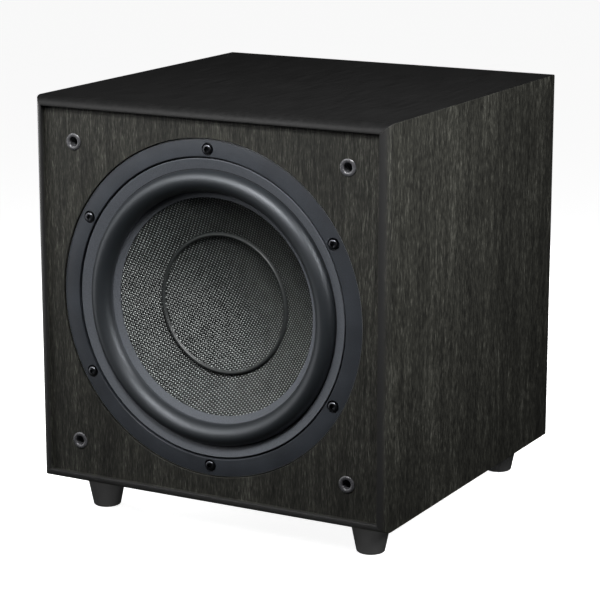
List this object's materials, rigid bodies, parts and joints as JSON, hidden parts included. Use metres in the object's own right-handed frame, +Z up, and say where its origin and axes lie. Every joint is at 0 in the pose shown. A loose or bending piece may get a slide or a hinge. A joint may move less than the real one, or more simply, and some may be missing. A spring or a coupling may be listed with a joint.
{
  "type": "powered subwoofer",
  "caption": "Powered subwoofer: a sealed woodgrain box on tapered feet, a front-firing driver with a woven cone, and an amplifier plate at the back.",
  "frame": {"origin": "on the floor, under the middle of the box", "axes": "+Z up, and the driver looks along -Y"},
  "size_m": [0.33, 0.348, 0.362],
  "materials": {
    "black_satin": "satin black vinyl wrap",
    "woodgrain_vinyl": "dark vertical woodgrain vinyl, satin",
    "bare_board": "bare fibreboard",
    "wadding": "polyester wadding",
    "cast_frame": "painted casting",
    "ring_paint": "satin dark blue-grey paint",
    "foam_gasket": "closed-cell foam",
    "roll_rubber": "satin black rubber",
    "woven_fibre": "woven fibre, glossy threads",
    "coil_former_film": "heat-proof film",
    "copper_wire": "enamelled copper wire",
    "spider_cloth": "resin-treated cloth",
    "zinc_steel": "zinc-plated steel",
    "ferrite": "ground ferrite",
    "black_plastic": "fine-textured moulded plastic",
    "knob_plastic": "soft-touch moulded plastic",
    "cable_sheath": "cable sheath",
    "powder_coat": "fine black powder coat",
    "anodised_aluminium": "black anodised",
    "circuit_board": "solder mask",
    "winding_tape": "wrapped tape",
    "capacitor_sleeve": "shrink sleeve",
    "gold_plate": "gold plated",
    "power_lens": "clear red",
    "socket_plastic": "grey moulded plastic",
    "foot_rubber": "matte dark grey",
    "black_steel": "black oxide"
  },
  "bodies": {
    "cabinet": {"top_panel": "black_satin", "bottom_panel": "black_satin", "left_panel": "woodgrain_vinyl", "right_panel": "woodgrain_vinyl", "front_baffle": "woodgrain_vinyl", "back_panel": "black_satin", "brace_bar": "bare_board", "damping_wadding": "wadding", "basket": "cast_frame", "trim_ring": "ring_paint", "gasket": "foam_gasket", "surround": "roll_rubber", "spider": "spider_cloth", "top_plate": "zinc_steel", "magnet": "ferrite", "pole_and_back_plate": "zinc_steel", "terminal_block": "black_plastic", "speaker_cable": "cable_sheath", "amplifier_plate": "powder_coat", "heatsink": "anodised_aluminium", "circuit_board": "circuit_board", "transformer": "winding_tape", "capacitor": "capacitor_sleeve", "line_input_left": "gold_plate", "line_input_right": "gold_plate", "volume_control": "zinc_steel", "crossover_control": "zinc_steel", "power_light": "power_lens", "mains_switch_housing": "black_plastic", "mains_inlet": "black_plastic", "grille_socket_top_left": "socket_plastic", "grille_socket_top_right": "socket_plastic", "grille_socket_bottom_left": "socket_plastic", "grille_socket_bottom_right": "socket_plastic", "foot_back_left": "foot_rubber", "foot_screw_back_left": "zinc_steel", "foot_back_right": "foot_rubber", "foot_screw_back_right": "zinc_steel", "foot_front_left": "foot_rubber", "foot_screw_front_left": "zinc_steel", "foot_front_right": "foot_rubber", "foot_screw_front_right": "zinc_steel", "driver_screw_1": "black_steel", "driver_screw_2": "black_steel", "driver_screw_3": "black_steel", "driver_screw_4": "black_steel", "driver_screw_5": "black_steel", "driver_screw_6": "black_steel"},
    "cone_assembly": {"cone": "woven_fibre", "dust_cap": "woven_fibre", "coil_former": "coil_former_film", "voice_coil": "copper_wire"},
    "volume_dial": {"volume_knob": "knob_plastic", "volume_shaft": "zinc_steel"},
    "crossover_dial": {"crossover_knob": "knob_plastic", "crossover_shaft": "zinc_steel"},
    "phase_slider": {"phase_switch": "black_plastic"},
    "power_mode_slider": {"power_mode_switch": "black_plastic"},
    "mains_rocker": {"mains_switch_rocker": "black_plastic"},
    "fuse_tray": {"fuse_drawer": "black_plastic"}
  },
  "joints": [
    {"name": "cone_excursion", "type": "slide", "parent": "cabinet", "child": "cone_assembly", "axis": [0, -1, 0], "range_m": [-0.008, 0.008], "stiffness_N_per_m": 3000, "deforming": ["surround", "spider"]},
    {"name": "volume_turn", "type": "hinge", "parent": "cabinet", "child": "volume_dial", "pos_m": [0.062, 0.153, 0.209], "axis": [0, 1, 0], "range_deg": [-150, 150]},
    {"name": "crossover_turn", "type": "hinge", "parent": "cabinet", "child": "crossover_dial", "pos_m": [0.062, 0.153, 0.159], "axis": [0, 1, 0], "range_deg": [-150, 150]},
    {"name": "phase_slide", "type": "slide", "parent": "cabinet", "child": "phase_slider", "axis": [1, 0, 0], "range_m": [0, 0.0052]},
    {"name": "power_mode_slide", "type": "slide", "parent": "cabinet", "child": "power_mode_slider", "axis": [1, 0, 0], "range_m": [-0.0042, 0.0042]},
    {"name": "mains_rock", "type": "hinge", "parent": "cabinet", "child": "mains_rocker", "pos_m": [0.052, 0.155, 0.102], "axis": [1, 0, 0], "range_deg": [0, 16]},
    {"name": "fuse_tray_slide", "type": "slide", "parent": "cabinet", "child": "fuse_tray", "axis": [0, 1, 0], "range_m": [0, 0.012]}
  ]
}
